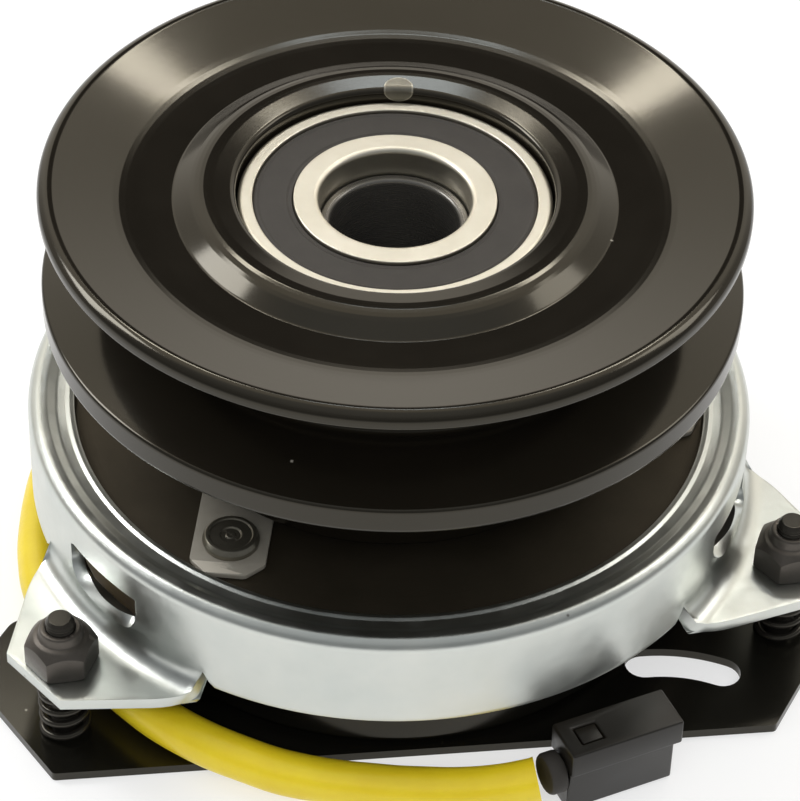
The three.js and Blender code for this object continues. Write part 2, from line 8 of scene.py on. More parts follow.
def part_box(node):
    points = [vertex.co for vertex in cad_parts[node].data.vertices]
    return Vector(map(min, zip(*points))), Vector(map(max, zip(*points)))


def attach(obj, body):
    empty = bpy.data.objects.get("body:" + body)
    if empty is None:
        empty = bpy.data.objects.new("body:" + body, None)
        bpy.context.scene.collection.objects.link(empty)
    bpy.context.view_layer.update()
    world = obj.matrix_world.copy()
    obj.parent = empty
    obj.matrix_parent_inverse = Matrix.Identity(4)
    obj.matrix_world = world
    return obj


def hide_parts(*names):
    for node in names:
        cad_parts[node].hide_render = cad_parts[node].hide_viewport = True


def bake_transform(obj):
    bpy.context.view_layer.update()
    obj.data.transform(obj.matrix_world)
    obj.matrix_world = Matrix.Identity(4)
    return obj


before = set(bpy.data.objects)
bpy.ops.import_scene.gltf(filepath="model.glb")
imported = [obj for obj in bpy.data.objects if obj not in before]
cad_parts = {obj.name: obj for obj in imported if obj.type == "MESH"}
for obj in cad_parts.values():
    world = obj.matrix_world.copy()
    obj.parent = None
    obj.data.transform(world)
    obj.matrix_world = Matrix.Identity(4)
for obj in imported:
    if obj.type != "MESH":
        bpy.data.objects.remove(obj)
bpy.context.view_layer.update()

# Electric power-take-off clutch and brake. Sizes are in millimetres until a mesh is made; MM turns them
# into the frame's metres. The crankshaft axis is Z and the mounting plate's underside is z = 0. WELD, in
# metres, is how close two vertices are when they are one. GAP is the running gap of touching parts.
MM = 0.001
GAP = 0.3


def node_box(node):
    """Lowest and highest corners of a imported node, in millimetres."""
    low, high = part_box(node)
    return low / MM, high / MM


BEARING_TOP = node_box("pulley_bearing_inner_ring")[1].z
RIM = node_box("pulley_upper_half")[1].x
DRUM_LOW = node_box("pulley_lower_half")[0].z
ARMATURE_LOW, ARMATURE_TOP = (corner.z for corner in node_box("armature"))
LEAF_LOW, LEAF_TOP = (corner.z for corner in node_box("leaf_spring_1"))
PLATE_TOP = node_box("mounting_plate")[1].z
STUD_TOP = node_box("stud_1")[1].z
NUT_LOW, NUT_TOP = (corner.z for corner in node_box("lock_nut_1"))

WELD = 2e-7

EAR_AZIMUTHS = (-137, -17, 103)
STUD_RADIUS = 86
CUP_WALL = 74
CUP_SHEET = 2.5
EAR_TOP = 21
GROOVE_FLOOR = 53.5
POCKET = 31.3
DRUM = 46.5

LEAF = {"azimuth": -124.1, "rivet": 53.9, "wide": 15, "pitch": 26, "turn": 29.6, "nose": 9, "chamfer": 3.6}
LEAD_DIAMETER = 9.2
LEAD_ROUTE = [
    (-47.0, 51.4, 8.0), (-51.3, 49.1, 7.9), (-55.4, 46.5, 7.6), (-59.1, 43.2, 7.1),
    (-63.9, 36.4, 6.1), (-68.0, 27.6, 5.2), (-71.1, 17.2, 4.8), (-72.7, 6.4, 4.8),
    (-72.9, -4.6, 5.2), (-72.2, -15.4, 6.0), (-70.0, -26.0, 6.8), (-65.6, -35.6, 7.0),
    (-59.7, -44.4, 6.9), (-52.4, -52.6, 6.9), (-44.4, -60.2, 6.9), (-35.9, -66.1, 6.9),
    (-27.4, -69.9, 6.3), (-18.8, -72.4, 5.1), (-9.8, -74.0, 4.8), (-0.6, -75.0, 4.8),
    (8.4, -75.6, 4.9), (16.6, -75.8, 5.4), (24.4, -75.6, 6.5), (31.2, -74.6, 7.7),
]


def polar(radius, azimuth, z=0.0):
    a = math.radians(azimuth)
    return Vector((radius * math.cos(a), radius * math.sin(a), z))


# ---- camera, light and floor
def turned_pair(a, b, angle):
    """Two square directions turned in their own plane, a towards b."""
    return a * math.cos(angle) + b * math.sin(angle), b * math.cos(angle) - a * math.sin(angle)


def make_camera():
    """Stands at the calibrated viewpoint, looking down at the pulley's bearing."""
    distance, elevation = 687.1, math.radians(38.68)
    yaw, pitch, roll = math.radians(0.12), math.radians(-3.29), math.radians(1.71)
    place = Vector((0, -distance * math.cos(elevation), BEARING_TOP + distance * math.sin(elevation)))
    ahead = Vector((0, math.cos(elevation), -math.sin(elevation)))
    right = Vector((1, 0, 0))
    up = right.cross(ahead)
    ahead, right = turned_pair(ahead, right, yaw)
    ahead, up = turned_pair(ahead, up, pitch)
    right, up = turned_pair(right, up, roll)
    data = bpy.data.cameras.new("camera")
    data.sensor_width = 36
    data.lens = 36 * 3504.6 / 801
    data.shift_x, data.shift_y = 0.0041, -0.0025
    data.clip_start, data.clip_end = 0.05, 10
    camera = bpy.data.objects.new("camera", data)
    turn = Matrix((right, up, -ahead)).transposed()
    camera.matrix_world = Matrix.Translation(place * MM) @ turn.to_4x4()
    bpy.context.scene.collection.objects.link(camera)
    bpy.context.scene.camera = camera


def softbox(name, at, aim, size, power, colour=(1, 1, 1)):
    data = bpy.data.lights.new(name, "AREA")
    data.shape = "RECTANGLE"
    data.size, data.size_y = size
    data.energy = power
    data.color = colour
    light = bpy.data.objects.new(name, data)
    light.location = at
    light.rotation_mode = "QUATERNION"
    light.rotation_quaternion = (Vector(aim) - Vector(at)).to_track_quat("-Z", "Y")
    bpy.context.scene.collection.objects.link(light)
    return light


def around(azimuth, elevation, distance):
    """A point round the clutch, in metres; azimuth 0 is +X and 90 is +Y."""
    a, e = math.radians(azimuth), math.radians(elevation)
    flat = distance * math.cos(e)
    return flat * math.cos(a), flat * math.sin(a), distance * math.sin(e)


def make_world():
    """A white sweep behind the clutch with a dark gap above it, a dim room in front and a white backdrop."""
    world = bpy.data.worlds.new("studio")
    bpy.context.scene.world = world
    world.use_nodes = True
    tree = world.node_tree
    room = tree.nodes["Background"]
    way = add(tree, "SeparateXYZ")
    wire(tree, (add(tree, "TexCoord").outputs["Generated"], way.inputs[0]))
    shade = add(tree, "ValToRGB")
    shade.color_ramp.interpolation = "EASE"
    for i, (height, level) in enumerate([(0.0, 0.8), (0.12, 0.4), (0.3, 0.2), (0.7, 0.3), (1.0, 0.6)]):
        stop = shade.color_ramp.elements[i] if i < 2 else shade.color_ramp.elements.new(height)
        stop.position = height
        stop.color = (level * 0.95, level * 0.98, level, 1)
    gap_height = math.radians(36.5)
    toward_gap = math_node(tree, "ADD", math_node(tree, "MULTIPLY", way.outputs[1], math.cos(gap_height)),
                           math_node(tree, "MULTIPLY", way.outputs[2], math.sin(gap_height)))
    in_gap = ramp(tree, toward_gap, math.cos(math.radians(14.5)), math.cos(math.radians(12)))
    off_side = ramp(tree, math_node(tree, "ABSOLUTE", way.outputs[0]), 0.5, 0.8)
    darken = math_node(tree, "MAXIMUM", in_gap, math_node(tree, "MULTIPLY", off_side, 0.6))
    sweep = add(tree, "Mix", data_type="RGBA")
    sweep.inputs[6].default_value = (1.15, 1.08, 0.96, 1)
    sweep.inputs[7].default_value = (0.06, 0.058, 0.055, 1)
    sides = add(tree, "Mix", data_type="RGBA")
    backdrop = add(tree, "Background")
    backdrop.inputs["Color"].default_value = (1, 1, 1, 1)
    choice = add(tree, "MixShader")
    sight = add(tree, "LightPath").outputs["Is Camera Ray"]
    wire(tree, (way.outputs[2], shade.inputs[0]), (darken, sweep.inputs[0]),
         (ramp(tree, way.outputs[1], -0.05, 0.3), sides.inputs[0]), (shade.outputs[0], sides.inputs[6]),
         (sweep.outputs[2], sides.inputs[7]), (sides.outputs[2], room.inputs["Color"]),
         (sight, choice.inputs[0]), (room.outputs[0], choice.inputs[1]),
         (backdrop.outputs[0], choice.inputs[2]),
         (choice.outputs[0], tree.nodes["World Output"].inputs["Surface"]))


def make_studio():
    bpy.context.scene.view_settings.view_transform = "Standard"
    make_world()
    middle = (0, 0, 0.06)
    softbox("left_window", around(160, 45, 1.0), middle, (0.28, 0.4), 3.4, (0.97, 0.98, 1))
    softbox("right_window", around(17, 46, 1.0), middle, (0.26, 0.4), 1.2, (1, 0.98, 0.95))
    softbox("left_lamp", around(108, 54, 1.0), middle, (0.16, 0.07), 0.5, (1, 0.97, 0.9))
    softbox("right_lamp", around(72, 54, 1.0), middle, (0.16, 0.07), 0.5, (1, 0.97, 0.9))
    softbox("roof_light", around(90, 58, 1.0), middle, (0.13, 0.05), 0.2, (0.72, 0.84, 1))
    for name, at, size, power in (("front_fill", around(-90, 48, 1.1), (0.9, 0.3), 3.4),
                                  ("overhead_fill", (0, 0, 1.3), (1.6, 1.6), 3)):
        softbox(name, at, middle, size, power).visible_glossy = False
    floor = bpy.data.objects.new("floor", bpy.data.meshes.new("floor"))
    b = bmesh.new()
    bmesh.ops.create_grid(b, x_segments=1, y_segments=1, size=4)
    b.to_mesh(floor.data)
    b.free()
    floor.location.z = -0.0003
    bpy.context.scene.collection.objects.link(floor)
    floor.data.materials.append(FLOOR_PAINT)


# ---- shader groups
def new_group(name, inputs, outputs):
    """An empty group whose inputs are {name: default}, with its two end nodes."""
    group = bpy.data.node_groups.new(name, "ShaderNodeTree")
    for key, value in inputs.items():
        made = group.interface.new_socket(name=key, in_out="INPUT", socket_type="NodeSocketFloat")
        made.default_value = value
    for key in outputs:
        group.interface.new_socket(name=key, in_out="OUTPUT", socket_type="NodeSocketFloat")
    return group, group.nodes.new("NodeGroupInput"), group.nodes.new("NodeGroupOutput")


def add(tree, kind, **settings):
    """A shader node with its settings."""
    made = tree.nodes.new("ShaderNode" + kind)
    for key, value in settings.items():
        setattr(made, key, value)
    return made


def wire(tree, *pairs):
    for out, into in pairs:
        tree.links.new(out, into)


def feed(tree, value, into):
    """Sets an input to a plain number, or links it to an output."""
    if isinstance(value, (int, float)):
        into.default_value = value
    else:
        tree.links.new(value, into)


def math_node(tree, operation, *values):
    made = add(tree, "Math", operation=operation)
    for value, into in zip(values, made.inputs):
        feed(tree, value, into)
    return made.outputs[0]


def ramp(tree, value, low, high):
    """A smooth step of value from 0 at low to 1 at high."""
    made = add(tree, "MapRange", interpolation_type="SMOOTHSTEP")
    for key, given in (("Value", value), ("From Min", low), ("From Max", high)):
        feed(tree, given, made.inputs[key])
    return made.outputs["Result"]


def cloud_group():
    """Slow and fast mottling: one value round 0.5 for stains, one for fine grain."""
    group, start, end = new_group("mottling", {"Stain size": 8.0, "Grain size": 0.4}, ("Stain", "Grain"))
    place = add(group, "TexCoord").outputs["Object"]
    for size, detail, out in (("Stain size", 4, "Stain"), ("Grain size", 2, "Grain")):
        scale = math_node(group, "DIVIDE", 1000, start.outputs[size])
        texture = add(group, "TexNoise")
        texture.inputs["Detail"].default_value = detail
        texture.inputs["Roughness"].default_value = 0.6
        wire(group, (place, texture.inputs["Vector"]), (scale, texture.inputs["Scale"]),
             (texture.outputs["Fac"], end.inputs[out]))
    return group


def turning_group():
    """Fine rings left by turning or polishing round the crankshaft axis."""
    group, start, end = new_group("turning_marks", {"Rings per mm": 3.0}, ("Rings",))
    place = add(group, "TexCoord").outputs["Object"]
    parts = add(group, "SeparateXYZ")
    wire(group, (place, parts.inputs[0]))
    x, y, z = parts.outputs
    radius = math_node(group, "SQRT", math_node(group, "ADD", math_node(group, "MULTIPLY", x, x),
                                                math_node(group, "MULTIPLY", y, y)))
    across = math_node(group, "ADD", radius, math_node(group, "MULTIPLY", z, 0.83))
    texture = add(group, "TexNoise", noise_dimensions="1D")
    texture.inputs["Detail"].default_value = 3
    turns = math_node(group, "MULTIPLY", start.outputs["Rings per mm"], 1000)
    wire(group, (math_node(group, "MULTIPLY", across, turns), texture.inputs["W"]),
         (texture.outputs["Fac"], end.inputs["Rings"]))
    texture.inputs["Scale"].default_value = 1
    return group


def wear_group():
    """Where an edge stands proud and is rubbed, broken up by noise."""
    group, start, end = new_group("edge_wear", {"Reach": 0.06, "Breakup": 0.5}, ("Wear",))
    sharp = add(group, "NewGeometry").outputs["Pointiness"]
    place = add(group, "TexCoord").outputs["Object"]
    texture = add(group, "TexNoise")
    texture.inputs["Scale"].default_value = 900
    texture.inputs["Detail"].default_value = 3
    wire(group, (place, texture.inputs["Vector"]))
    high = math_node(group, "ADD", 0.51, start.outputs["Reach"])
    edge = ramp(group, sharp, 0.51, high)
    rough = math_node(group, "MULTIPLY", math_node(group, "SUBTRACT", texture.outputs["Fac"], 0.5),
                      start.outputs["Breakup"])
    wire(group, (ramp(group, math_node(group, "ADD", edge, rough), 0.35, 0.75), end.inputs["Wear"]))
    return group


def speck_group():
    """Scattered dust specks, as a mask."""
    group, start, end = new_group("dust_specks", {"Spacing mm": 5.0, "Share": 0.12}, ("Specks",))
    place = add(group, "TexCoord").outputs["Object"]
    texture = add(group, "TexVoronoi")
    scale = math_node(group, "DIVIDE", 1000, start.outputs["Spacing mm"])
    wire(group, (place, texture.inputs["Vector"]), (scale, texture.inputs["Scale"]))
    chosen = add(group, "SeparateColor")
    wire(group, (texture.outputs["Color"], chosen.inputs[0]))
    near = math_node(group, "SUBTRACT", 1, ramp(group, texture.outputs["Distance"], 0.02, 0.07))
    few = math_node(group, "LESS_THAN", chosen.outputs[0], start.outputs["Share"])
    wire(group, (math_node(group, "MULTIPLY", near, few), end.inputs["Specks"]))
    return group


MOTTLING, TURNING, WEAR, SPECKS = cloud_group(), turning_group(), wear_group(), speck_group()


# ---- finishes
class Finish:
    """A Principled material under construction, with shorthands for this clutch's finishes."""

    def __init__(self, name, colour, roughness, metallic=0.0, **constants):
        self.material = bpy.data.materials.new(name)
        self.material.use_nodes = True
        self.tree = self.material.node_tree
        self.shader = self.tree.nodes["Principled BSDF"]
        self.shader.inputs["Base Color"].default_value = (*colour, 1)
        self.shader.inputs["Roughness"].default_value = roughness
        self.shader.inputs["Metallic"].default_value = metallic
        for key, value in constants.items():
            self.shader.inputs[key.replace("_", " ")].default_value = value
        self.material.diffuse_color = (*colour, 1)
        self.colour = None

    def effect(self, group, **values):
        made = add(self.tree, "Group", node_tree=group)
        for key, value in values.items():
            made.inputs[key.replace("_", " ")].default_value = value
        return made.outputs

    def tint(self, mask, dark, light):
        """Base colour from dark to light by a mask, over whatever came before."""
        mix = add(self.tree, "Mix", data_type="RGBA")
        wire(self.tree, (mask, mix.inputs["Factor"]))
        if dark is None:
            wire(self.tree, (self.colour, mix.inputs[6]))
        else:
            mix.inputs[6].default_value = (*dark, 1)
        mix.inputs[7].default_value = (*light, 1)
        self.colour = mix.outputs[2]
        wire(self.tree, (self.colour, self.shader.inputs["Base Color"]))

    def vary(self, name, mask, low, high):
        made = add(self.tree, "MapRange")
        wire(self.tree, (mask, made.inputs["Value"]), (made.outputs["Result"], self.shader.inputs[name]))
        made.inputs["To Min"].default_value = low
        made.inputs["To Max"].default_value = high

    def bump(self, *heights):
        """Relief from (mask, depth in mm) pairs, summed."""
        total = None
        for mask, depth in heights:
            term = math_node(self.tree, "MULTIPLY", mask, depth * MM)
            total = term if total is None else math_node(self.tree, "ADD", total, term)
        made = add(self.tree, "Bump")
        made.inputs["Distance"].default_value = 1
        made.inputs["Strength"].default_value = 1
        wire(self.tree, (total, made.inputs["Height"]), (made.outputs[0], self.shader.inputs["Normal"]))


def surface(name, colour, roughness, metallic, sizes, tint, vary=None, bump=(), rings=0, wear=None,
            specks=None, **constants):
    """A finish of the shared effects, whose masks are Stain and Grain (sizes in mm) and Rings (per mm).

    tint is (mask, dark, light), vary is (mask, low, high) for the roughness, bump is (mask, depth in mm)
    pairs, wear is (reach, breakup, colour) and specks is (spacing in mm, share, colour).
    """
    f = Finish(name, colour, roughness, metallic, **constants)
    masks = {}
    if sizes:
        mottle = f.effect(MOTTLING, Stain_size=sizes[0], Grain_size=sizes[1])
        masks = {"Stain": mottle["Stain"], "Grain": mottle["Grain"]}
    if rings:
        masks["Rings"] = f.effect(TURNING, Rings_per_mm=rings)["Rings"]
    mask, dark, light = tint
    f.tint(masks[mask], dark, light)
    if wear:
        reach, breakup, bare = wear
        f.tint(f.effect(WEAR, Reach=reach, Breakup=breakup)["Wear"], None, bare)
    if specks:
        spacing, share, dust = specks
        f.tint(f.effect(SPECKS, Spacing_mm=spacing, Share=share)["Specks"], None, dust)
    if vary:
        mask, low, high = vary
        f.vary("Roughness", masks[mask], low, high)
    if bump:
        f.bump(*((masks[mask], depth) for mask, depth in bump))
    return f.material


def black_coat(name, colour, roughness, specks):
    """Glossy electro-coat over pressed steel: slight orange peel, faint drawing rings and a little dust."""
    return surface(name, colour, roughness, 0.0, (22, 1.6), ("Stain", colour, tuple(1.9 * c for c in colour)),
                   ("Stain", roughness - 0.03, roughness + 0.05), (("Grain", 0.003), ("Rings", 0.003)),
                   rings=0.5, specks=(6, specks, (0.3, 0.28, 0.24)), Specular_Tint=(1, 0.93, 0.76, 1))


def zinc_plate():
    """Bright zinc over drawn steel: pale, faintly green, with soft streaks and handling marks."""
    f = Finish("zinc_plate", (0.62, 0.65, 0.61), 0.3, 1.0)
    broad = f.effect(MOTTLING, Stain_size=26, Grain_size=1.3)
    fine = f.effect(MOTTLING, Stain_size=5, Grain_size=0.35)
    f.tint(broad["Stain"], (0.50, 0.545, 0.53), (0.74, 0.74, 0.69))
    f.tint(f.effect(SPECKS, Spacing_mm=7, Share=0.12)["Specks"], None, (0.22, 0.21, 0.19))
    f.vary("Roughness", fine["Stain"], 0.22, 0.46)
    f.bump((fine["Grain"], 0.006), (broad["Stain"], 0.25), (broad["Grain"], 0.012))
    return f.material


def dark_steel(name, dark, light, roughness):
    """Bare steel darkened by oil and heat, with turning rings."""
    return surface(name, light, roughness, 0.75, (15, 0.5), ("Stain", dark, light),
                   ("Rings", roughness - 0.08, roughness + 0.12), (("Rings", 0.012), ("Grain", 0.012)),
                   rings=2.2)


def grey_steel(name, dark, light, roughness, wear, metal=0.85):
    """Plain grey steel of the springs, rivets and nuts."""
    return surface(name, light, roughness, metal, (4, 0.3), ("Stain", dark, light),
                   ("Grain", roughness - 0.08, roughness + 0.12), (("Grain", 0.012), ("Stain", 0.03)),
                   wear=(wear, 0.6, tuple(min(1, 1.5 * c) for c in light)))


# A pale table that glows a little, as a light table does.
FLOOR_PAINT = surface("floor_paint", (0.4, 0.4, 0.4), 0.8, 0.0, (400, 3), ("Stain", (0.39,) * 3, (0.41,) * 3),
                      Emission_Strength=0.6, Emission_Color=(1, 1, 1, 1))
PULLEY_COAT = black_coat("black_coat", (0.0055, 0.0045, 0.0032), 0.11, 0.08)
PLATE_COAT = black_coat("plate_coat", (0.004, 0.0038, 0.003), 0.2, 0.14)
BLACK_OXIDE = black_coat("black_oxide", (0.010, 0.009, 0.008), 0.24, 0.02)
ZINC = zinc_plate()
BEARING_STEEL = surface("bearing_steel", (0.72, 0.68, 0.58), 0.4, 1.0, (9, 0.3),
                        ("Stain", (0.64, 0.60, 0.50), (0.82, 0.78, 0.68)), ("Rings", 0.34, 0.48),
                        (("Rings", 0.003), ("Grain", 0.003)), rings=7)
ARMATURE_STEEL = dark_steel("armature_steel", (0.06, 0.05, 0.034), (0.12, 0.10, 0.07), 0.42)
ROTOR_STEEL = dark_steel("rotor_steel", (0.06, 0.045, 0.032), (0.12, 0.092, 0.066), 0.4)
BORE_STEEL = dark_steel("bore_steel", (0.10, 0.095, 0.088), (0.20, 0.19, 0.17), 0.26)
LEAF_STEEL = grey_steel("leaf_steel", (0.30, 0.28, 0.235), (0.42, 0.39, 0.33), 0.45, 0.12, metal=0.15)
RIVET_STEEL = grey_steel("rivet_steel", (0.16, 0.15, 0.12), (0.29, 0.27, 0.22), 0.3, 0.1)
PHOSPHATE = grey_steel("phosphate", (0.075, 0.067, 0.058), (0.14, 0.125, 0.11), 0.42, 0.1)
SEAL_RUBBER = surface("seal_rubber", (0.034, 0.030, 0.026), 0.55, 0.0, (6, 0.25),
                      ("Stain", (0.028, 0.025, 0.0215), (0.045, 0.040, 0.035)), ("Grain", 0.55, 0.7),
                      (("Grain", 0.01),), specks=(4, 0.1, (0.45, 0.43, 0.38)), Specular_IOR_Level=0.35)
NYLON = surface("moulded_nylon", (0.012, 0.010, 0.0075), 0.32, 0.0, (7, 0.22),
                ("Stain", (0.008, 0.0068, 0.0052), (0.016, 0.0135, 0.010)), ("Stain", 0.26, 0.38),
                (("Grain", 0.012),), wear=(0.2, 0.3, (0.04, 0.035, 0.027)),
                specks=(5, 0.12, (0.4, 0.38, 0.33)), Specular_IOR_Level=0.4)
# Yellow vinyl sleeve over the two wires: soft sheen, faint grime and long flow lines.
VINYL = surface("vinyl_sleeve", (0.80, 0.60, 0.012), 0.36, 0.0, (9, 0.7),
                ("Stain", (0.74, 0.53, 0.008), (0.90, 0.72, 0.022)), ("Grain", 0.3, 0.5),
                (("Grain", 0.03), ("Stain", 0.12)), specks=(6, 0.1, (0.32, 0.24, 0.05)),
                Subsurface_Weight=0.08, Subsurface_Radius=(0.004, 0.003, 0.0006), Coat_Weight=0.15)
COPPER = surface("copper_wire", (0.55, 0.24, 0.11), 0.3, 0.9, None,
                 ("Rings", (0.38, 0.15, 0.06), (0.68, 0.32, 0.16)), ("Rings", 0.22, 0.42),
                 (("Rings", 0.15),), rings=1.6)
LINING = surface("friction_lining", (0.12, 0.105, 0.085), 0.85, 0.0, (2.5, 0.4),
                 ("Grain", (0.075, 0.066, 0.055), (0.20, 0.17, 0.13)), ("Stain", 0.75, 0.95),
                 (("Grain", 0.08),))
TIN = surface("tinned_brass", (0.66, 0.65, 0.60), 0.28, 1.0, (3, 0.3),
              ("Stain", (0.55, 0.53, 0.47), (0.76, 0.75, 0.71)), ("Grain", 0.2, 0.4), (("Grain", 0.006),))


# ---- mesh tools
def smooth(obj, angle):
    mesh = obj.data
    mesh.polygons.foreach_set("use_smooth", [True] * len(mesh.polygons))
    mesh.set_sharp_from_angle(angle=math.radians(angle))


def edit_mesh(obj, work):
    """Runs work on the object's mesh, opened for editing."""
    b = bmesh.new()
    b.from_mesh(obj.data)
    work(b)
    b.to_mesh(obj.data)
    b.free()


def new_object(name, vertices, faces):
    """An object from millimetre vertices, with its faces turned outwards."""
    mesh = bpy.data.meshes.new(name)
    mesh.from_pydata([tuple(Vector(v) * MM) for v in vertices], [], faces)
    obj = bpy.data.objects.new(name, mesh)
    bpy.context.scene.collection.objects.link(obj)

    def close_up(b):
        bmesh.ops.remove_doubles(b, verts=b.verts, dist=WELD)
        bmesh.ops.recalc_face_normals(b, faces=b.faces)

    edit_mesh(obj, close_up)
    return obj


def finish_piece(obj, body, material, *nodes, shade=32):
    """Gives a piece its shading, finish and body (None to leave it unattached), and hides the imported nodes
    that it stands for.
    """
    smooth(obj, shade)
    obj.data.materials.clear()
    obj.data.materials.append(material)
    if body:
        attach(obj, body)
    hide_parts(*nodes)
    return obj


def bake_modifiers(obj):
    """Replaces the object's mesh by what its modifiers make of it."""
    graph = bpy.context.evaluated_depsgraph_get()
    made = bpy.data.meshes.new_from_object(obj.evaluated_get(graph), depsgraph=graph)
    obj.modifiers.clear()
    obj.data = made


def modify(obj, kind, **settings):
    made = obj.modifiers.new(kind.lower(), kind)
    for key, value in settings.items():
        setattr(made, key, value)
    bake_modifiers(obj)


def carve(obj, *tools, operation="DIFFERENCE"):
    """Cuts (or joins, or meets) the object with each tool, which is then thrown away."""
    for tool in tools:
        modify(obj, "BOOLEAN", operation=operation, solver="EXACT", object=tool)
        bpy.data.objects.remove(tool)


def soften(obj, width, segments, angle=35):
    modify(obj, "BEVEL", width=width * MM, segments=segments, limit_method="ANGLE",
           angle_limit=math.radians(angle), harden_normals=False, use_clamp_overlap=True)


def rounded(points, closed=True, steps=5):
    """An outline with its corners rounded: each point is (x, y) or (x, y, corner radius)."""
    count = len(points)
    outline = []
    for i, point in enumerate(points):
        here = Vector(point[:2])
        radius = point[2] if len(point) > 2 else 0
        if not radius or (not closed and i in (0, count - 1)):
            outline.append(here)
            continue
        before = Vector(points[i - 1][:2]) - here
        after = Vector(points[(i + 1) % count][:2]) - here
        corner = before.angle(after)
        if corner > 3.1:
            outline.append(here)
            continue
        reach = radius / math.tan(corner / 2)
        reach = min(reach, 0.47 * before.length, 0.47 * after.length)
        start = here + before.normalized() * reach
        stop = here + after.normalized() * reach
        inward = (before.normalized() + after.normalized()).normalized()
        middle = here + inward * (reach / math.cos(corner / 2))
        arm_a, arm_b = start - middle, stop - middle
        sweep = arm_a.angle(arm_b)
        for k in range(steps + 1):
            t = k / steps
            arm = (arm_a * math.sin((1 - t) * sweep) + arm_b * math.sin(t * sweep)) / math.sin(sweep)
            outline.append(middle + arm)
    return outline


def supported(outline, closed=True, margin=0.12):
    """Adds a point close to each end of a long edge, so that shading stays flat along it."""
    points = []
    for i, here in enumerate(outline):
        points.append(here)
        if not closed and i == len(outline) - 1:
            break
        after = outline[(i + 1) % len(outline)]
        along = after - here
        if along.length > 5 * margin:
            step = along.normalized() * margin
            points += [here + step, after - step]
    return points


def turned(name, profile, seams=144, closed=True):
    """An (r, z[, corner radius]) profile spun round Z. An open profile starts and ends on the axis."""
    outline = supported(rounded(profile, closed), closed)
    vertices, faces = [], []
    count = len(outline)
    for k in range(seams):
        a = 2 * math.pi * k / seams
        vertices += [(p.x * math.cos(a), p.x * math.sin(a), p.y) for p in outline]
    spans = count if closed else count - 1
    for k in range(seams):
        for i in range(spans):
            j, ahead = (i + 1) % count, (k + 1) % seams
            faces.append((k * count + i, k * count + j, ahead * count + j, ahead * count + i))
    obj = new_object(name, vertices, faces)
    edit_mesh(obj, lambda b: bmesh.ops.dissolve_degenerate(b, dist=WELD, edges=b.edges))
    return obj


def cylinder(radius, low, high, at=(0, 0), seams=48):
    made = turned("tool", [(0, low), (radius, low), (radius, high), (0, high)], seams, closed=False)
    made.data.transform(Matrix.Translation(Vector((*at, 0)) * MM))
    return made


def slab(name, outline, low, high):
    """A flat plate with a closed outline of points."""
    count = len(outline)
    vertices = [(p[0], p[1], z) for z in (low, high) for p in outline]
    faces = [tuple(range(count))[::-1], tuple(range(count, 2 * count))]
    faces += [(i, (i + 1) % count, count + (i + 1) % count, count + i) for i in range(count)]
    return new_object(name, vertices, faces)


def swept(name, path, radius_at, sides):
    """A capped round tube along a path of points; radius_at(share of the way, angle) gives its radius."""
    path = [Vector(p) for p in path]
    ahead = (path[1] - path[0]).normalized()
    side = ahead.cross(Vector((0, 0, 1))).normalized()
    vertices, faces = [], []
    last = len(path) - 1
    for k, point in enumerate(path):
        new_ahead = (path[min(k + 1, last)] - path[max(k - 1, 0)]).normalized()
        side = (side - new_ahead * side.dot(new_ahead)).normalized()
        over = new_ahead.cross(side)
        for i in range(sides):
            a = 2 * math.pi * i / sides
            vertices.append(point + (side * math.cos(a) + over * math.sin(a)) * radius_at(k / last, a))
    for k in range(last):
        for i in range(sides):
            j = (i + 1) % sides
            faces.append((k * sides + i, k * sides + j, (k + 1) * sides + j, (k + 1) * sides + i))
    faces += [tuple(range(sides))[::-1], tuple(range(last * sides, (last + 1) * sides))]
    return new_object(name, vertices, faces)


def through_points(points, steps):
    """A smooth curve through the points, with steps short chords between each two."""
    points = [Vector(p) for p in points]
    ends = [2 * points[0] - points[1], *points, 2 * points[-1] - points[-2]]
    path = []
    for a, b, c, d in zip(ends, ends[1:], ends[2:], ends[3:]):
        for k in range(steps):
            t = k / steps
            path.append(0.5 * (2 * b + (c - a) * t + (2 * a - 5 * b + 4 * c - d) * t * t
                               + (3 * b - a - 3 * c + d) * t * t * t))
    return path + [points[-1]]


# ---- lead and its ends
def make_lead():
    """The sleeve, with slight waves in its wall and a cut, frayed end over the two wires."""
    path = through_points(LEAD_ROUTE, 8)
    radius = LEAD_DIAMETER / 2
    length = sum((b - a).length for a, b in zip(path, path[1:]))
    mouth = 1.3 / length

    def radius_at(share, angle):
        wave = noise.noise(Vector((share * length / 7, 0.8 * math.cos(angle), 0.8 * math.sin(angle))))
        frayed = 0.22 * noise.noise(Vector((9 * math.cos(angle), 9 * math.sin(angle), 3)))
        flare = max(0.0, 1 - (1 - share) / mouth)
        return radius - 0.12 + 0.11 * wave + flare * (0.12 + frayed)

    sleeve = swept("lead_sleeve", path, radius_at, sides=40)
    finish_piece(sleeve, "field", VINYL, "lead", shade=50)


def softened_copy(node, name, width, segments, material, angle=35):
    """A copy of one of the field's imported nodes, with its flat faces made whole and its edges rounded."""
    obj = bpy.data.objects.new(name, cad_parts[node].data.copy())
    bpy.context.scene.collection.objects.link(obj)

    def join_flats(b):
        bmesh.ops.remove_doubles(b, verts=b.verts, dist=10 * WELD)
        bmesh.ops.dissolve_limit(b, angle_limit=math.radians(1), verts=b.verts, edges=b.edges)

    edit_mesh(obj, join_flats)
    soften(obj, width, segments, angle)
    return finish_piece(obj, "field", material, node)


